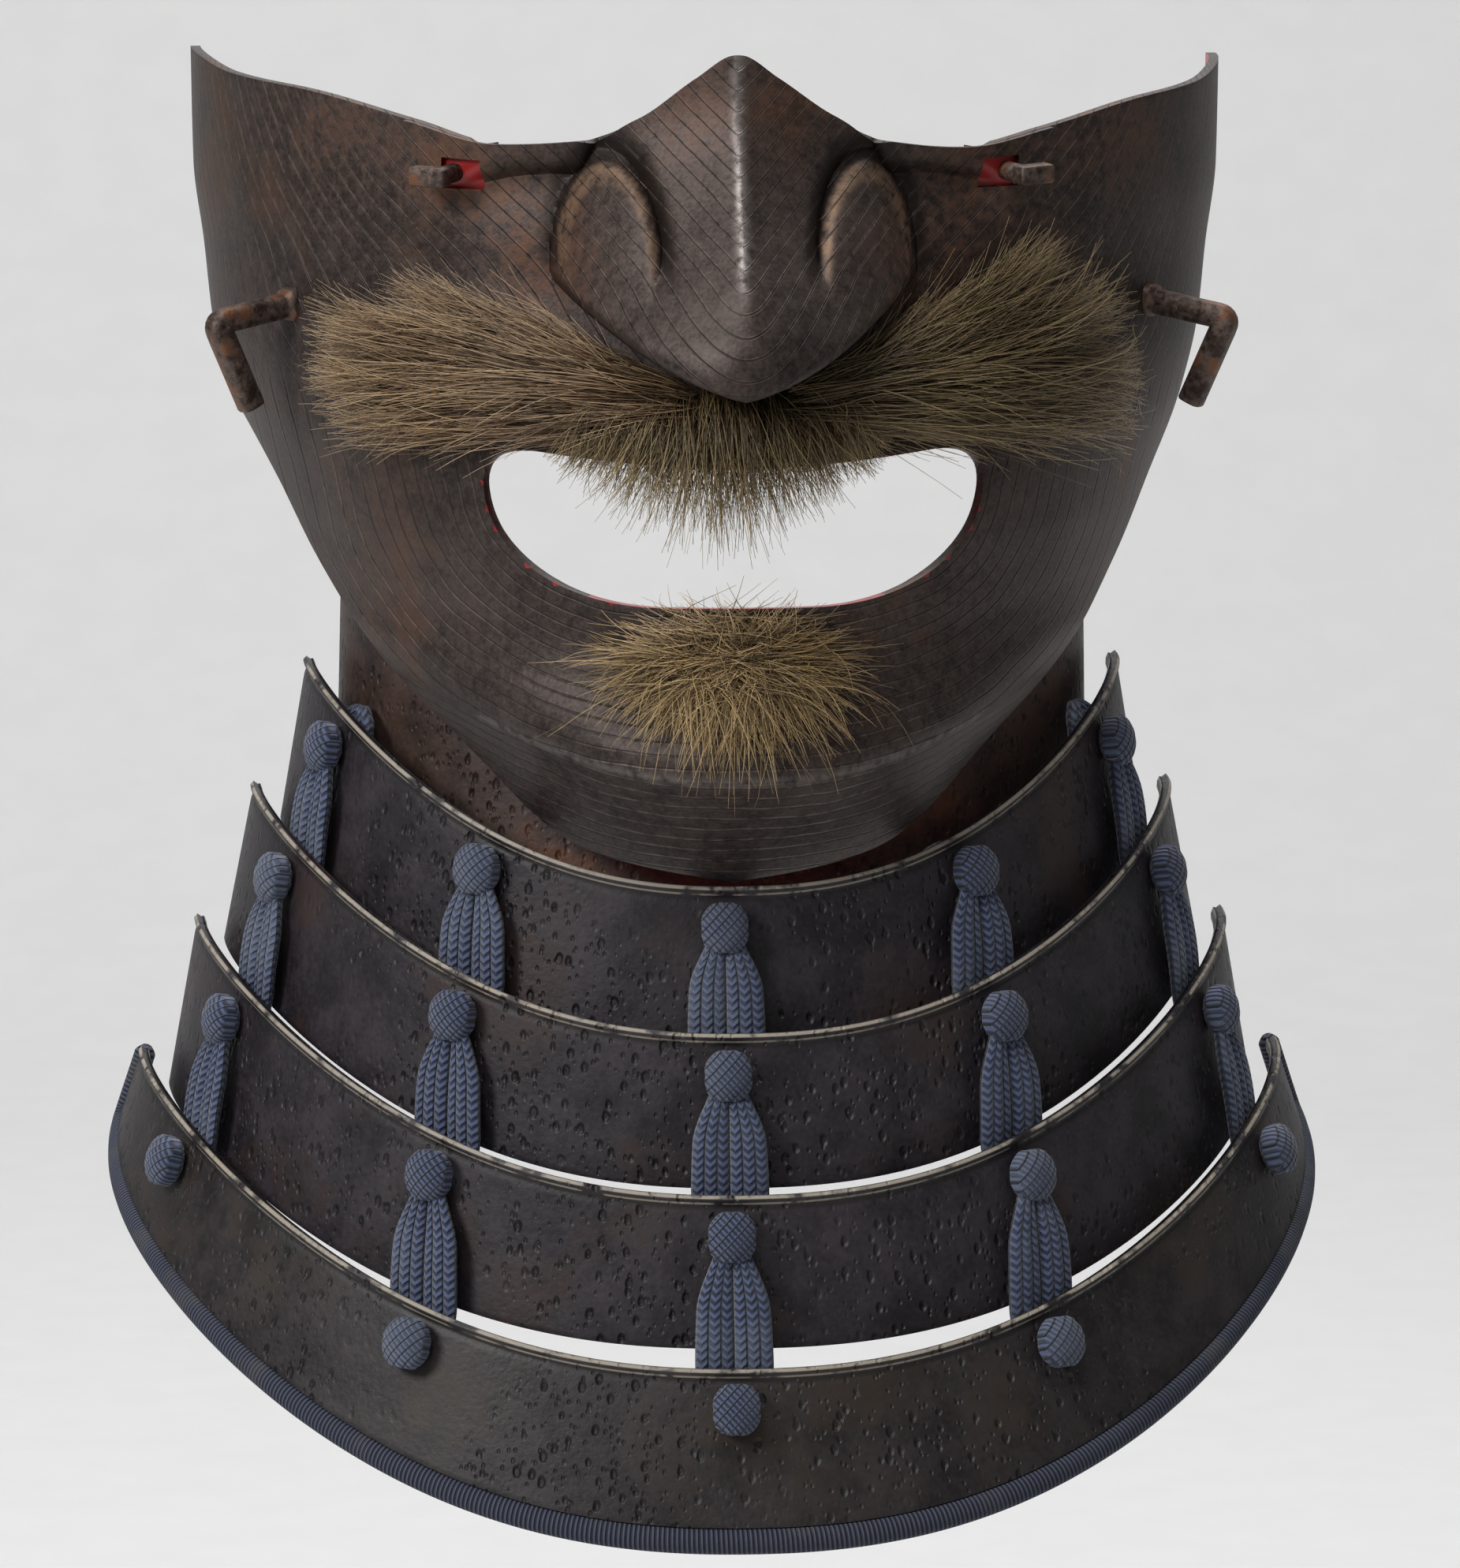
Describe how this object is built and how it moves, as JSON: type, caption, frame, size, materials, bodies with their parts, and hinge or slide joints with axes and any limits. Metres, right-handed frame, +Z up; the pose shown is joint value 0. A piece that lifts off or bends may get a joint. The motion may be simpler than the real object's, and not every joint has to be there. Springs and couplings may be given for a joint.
{
  "type": "samurai face guard",
  "caption": "Iron half-mask with nose plate, cord pegs, moustache and chin tuft, over a curved throat guard of laced plates.",
  "frame": {"origin": "the point inside the mask where the wearer's chin rests, on the middle plane", "axes": "+X to the viewer's right when the mask is seen from the front, which is the wearer's left; +Y towards the wearer's face and neck, so the mask looks along -Y; +Z up"},
  "size_m": [0.198, 0.121, 0.2297],
  "materials": {
    "russet_iron": "dark russet iron with a satin sheen, incised with fine lines, warm rust in the hollows; red lacquer inside",
    "worn_iron": "bare iron, rubbed bright on its edges and rusty round its foot",
    "lacquered_iron": "iron under worn brown-black lacquer with a hammered, pitted surface",
    "silk_braid": "flat braided indigo silk lace, faded on its raised plaits",
    "edge_braid": "faded blue-grey braid",
    "hair": "straw and red-brown animal hair"
  },
  "bodies": {
    "guard": {"mask": "russet_iron", "nose_plate": "russet_iron", "left_cord_peg": "worn_iron", "right_cord_peg": "worn_iron", "lame_1": "lacquered_iron", "lame_2": "lacquered_iron", "lame_3": "lacquered_iron", "lame_4": "lacquered_iron", "lame_5": "lacquered_iron", "lace_left_outer": "silk_braid", "lace_left_inner": "silk_braid", "lace_centre": "silk_braid", "lace_right_inner": "silk_braid", "lace_right_outer": "silk_braid", "edge_binding": "edge_braid", "moustache": "hair", "chin_tuft": "hair"},
    "left_pin": {"left_turn_pin": "worn_iron"},
    "right_pin": {"right_turn_pin": "worn_iron"}
  },
  "joints": [
    {"name": "left_pin_turn", "type": "hinge", "parent": "guard", "child": "left_pin", "pos_m": [-0.043, -0.074, 0.1032], "axis": [-0.4993, -0.8626, -0.0817], "range_deg": [0, 180]},
    {"name": "right_pin_turn", "type": "hinge", "parent": "guard", "child": "right_pin", "pos_m": [0.043, -0.074, 0.1032], "axis": [-0.4993, 0.8626, 0.0817], "range_deg": [0, 180]}
  ]
}
